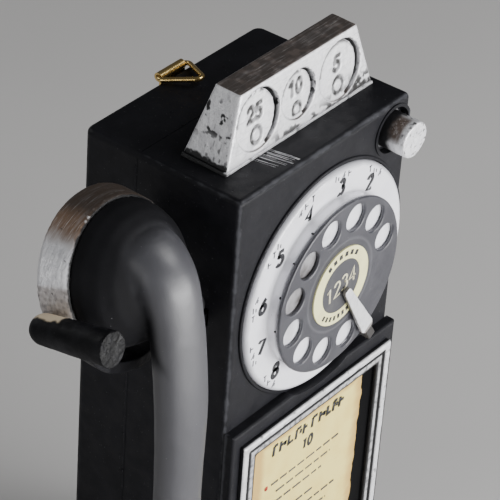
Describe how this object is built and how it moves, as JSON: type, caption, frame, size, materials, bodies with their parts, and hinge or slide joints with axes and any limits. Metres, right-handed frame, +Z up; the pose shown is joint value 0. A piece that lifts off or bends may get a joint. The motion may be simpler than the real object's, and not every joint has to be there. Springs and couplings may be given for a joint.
{
  "type": "payphone",
  "caption": "Small upright dial payphone with a coin head, framed card, hung handset, coin return, cash-box door and hanging ring.",
  "frame": {"origin": "middle of the case's footprint, on the underside of the base plate", "axes": "+Z up, -Y out of the dial face, +X to the right as seen from the front"},
  "size_m": [0.1729, 0.0891, 0.29],
  "materials": {
    "case_paint": "matte black paint over cast resin",
    "bright_casting": "dry-brushed silver paint over cast resin",
    "plate_enamel": "glossy white",
    "wheel_enamel": "semi-gloss dark grey",
    "label_cream": "printed cream ring",
    "label_dark": "printed dark centre",
    "card_paper": "aged cream card",
    "handset_plastic": "satin black moulding",
    "brass": "bright",
    "works_steel": "plain",
    "works_plastic": "plain"
  },
  "bodies": {
    "case": {"front_housing": "case_paint", "rear_housing": "case_paint", "base_plate": "case_paint", "base_bosses": "case_paint", "base_screws": "works_steel", "housing_screws": "works_steel", "cord_gland": "works_plastic", "lower_panel": "case_paint", "panel_screws": "works_steel", "card_frame": "bright_casting", "instruction_card": "card_paper", "return_bezel": "bright_casting", "return_cup": "works_steel", "return_flap_pin": "works_steel", "vault_door_pin": "works_steel", "coin_box": "works_steel", "coin_head": "bright_casting", "coin_head_base": "case_paint", "coin_head_screws": "works_steel", "chute_bracket": "works_steel", "coin_hopper": "works_steel", "number_plate": "plate_enamel", "dial_bushing": "brass", "dial_cup": "works_steel", "dial_screws": "works_steel", "return_spring": "works_steel", "finger_stop": "bright_casting", "button_sleeve": "works_steel", "stem_guide": "works_steel", "button_spring": "works_steel", "gate_bracket": "works_steel", "hook_bracket": "works_steel", "hook_pin": "works_steel", "hook_switch": "works_plastic", "hanger_strap": "brass", "hanger_screws": "brass", "coin_chute_left": "works_steel", "coin_chute_middle": "works_steel", "coin_chute_right": "works_steel"},
    "handset": {"handset_handle": "handset_plastic", "ear_cap": "bright_casting", "mouth_cap": "bright_casting", "receiver_unit": "works_steel", "transmitter_unit": "works_steel"},
    "hook": {"hook_fork": "case_paint", "hook_lever": "works_steel"},
    "dial": {"finger_wheel": "wheel_enamel", "dial_spindle": "works_steel", "label_ring": "label_cream", "label_centre": "label_dark", "main_gear": "brass"},
    "governor_fly": {"governor": "works_steel"},
    "button": {"release_button": "bright_casting", "button_stem": "works_steel"},
    "gate": {"coin_gate": "works_steel"},
    "flap": {"return_flap": "bright_casting"},
    "door": {"vault_door": "bright_casting"},
    "lock": {"lock_barrel": "works_steel", "lock_cam": "works_steel"},
    "ring": {"hanger_ring": "brass"}
  },
  "joints": [
    {"name": "handset_lift", "type": "slide", "parent": "case", "child": "handset", "axis": [0, 0, 1], "range_m": [0, 0.06]},
    {"name": "hook_rock", "type": "hinge", "parent": "case", "child": "hook", "pos_m": [-0.041, -0.021, 0.206], "axis": [0, 1, 0], "range_deg": [0, 6]},
    {"name": "dial_turn", "type": "hinge", "parent": "case", "child": "dial", "pos_m": [0.0022, -0.044, 0.2034], "axis": [0, 1, 0], "range_deg": [0, 335], "stiffness_Nm_per_rad": 0.0012, "springref_deg": -34.38},
    {"name": "governor_spin", "type": "hinge", "parent": "case", "child": "governor_fly", "pos_m": [0.0222, -0.02, 0.2034], "axis": [0, 1, 0], "range_deg": [-1345, 5]},
    {"name": "button_push", "type": "slide", "parent": "case", "child": "button", "axis": [0, 1, 0], "range_m": [0, 0.004], "stiffness_N_per_m": 60, "springref_m": -0.001, "deforming": ["button_spring"]},
    {"name": "gate_rock", "type": "hinge", "parent": "case", "child": "gate", "pos_m": [0, 0.0215, 0.24], "axis": [-1, 0, 0], "range_deg": [0, 25.3]},
    {"name": "return_flap_swing", "type": "hinge", "parent": "case", "child": "flap", "pos_m": [-0.029, -0.0392, 0.0398], "axis": [1, 0, 0], "range_deg": [0, 50]},
    {"name": "vault_door_swing", "type": "hinge", "parent": "case", "child": "door", "pos_m": [0.0396, -0.0403, 0.025], "axis": [0, 0, 1], "range_deg": [0, 100]},
    {"name": "lock_turn", "type": "hinge", "parent": "door", "child": "lock", "pos_m": [0.002, -0.04, 0.025], "axis": [0, -1, 0], "range_deg": [0, 90]},
    {"name": "ring_swing", "type": "hinge", "parent": "case", "child": "ring", "pos_m": [0, 0.038, 0.261], "axis": [-1, 0, 0], "range_deg": [0, 230]}
  ],
  "couplings": [
    {"joint": "hook_rock", "follows": "handset_lift", "rad_per_m": 1.74},
    {"joint": "governor_spin", "follows": "dial_turn", "ratio": -4},
    {"joint": "gate_rock", "follows": "button_push", "rad_per_m": 110}
  ]
}
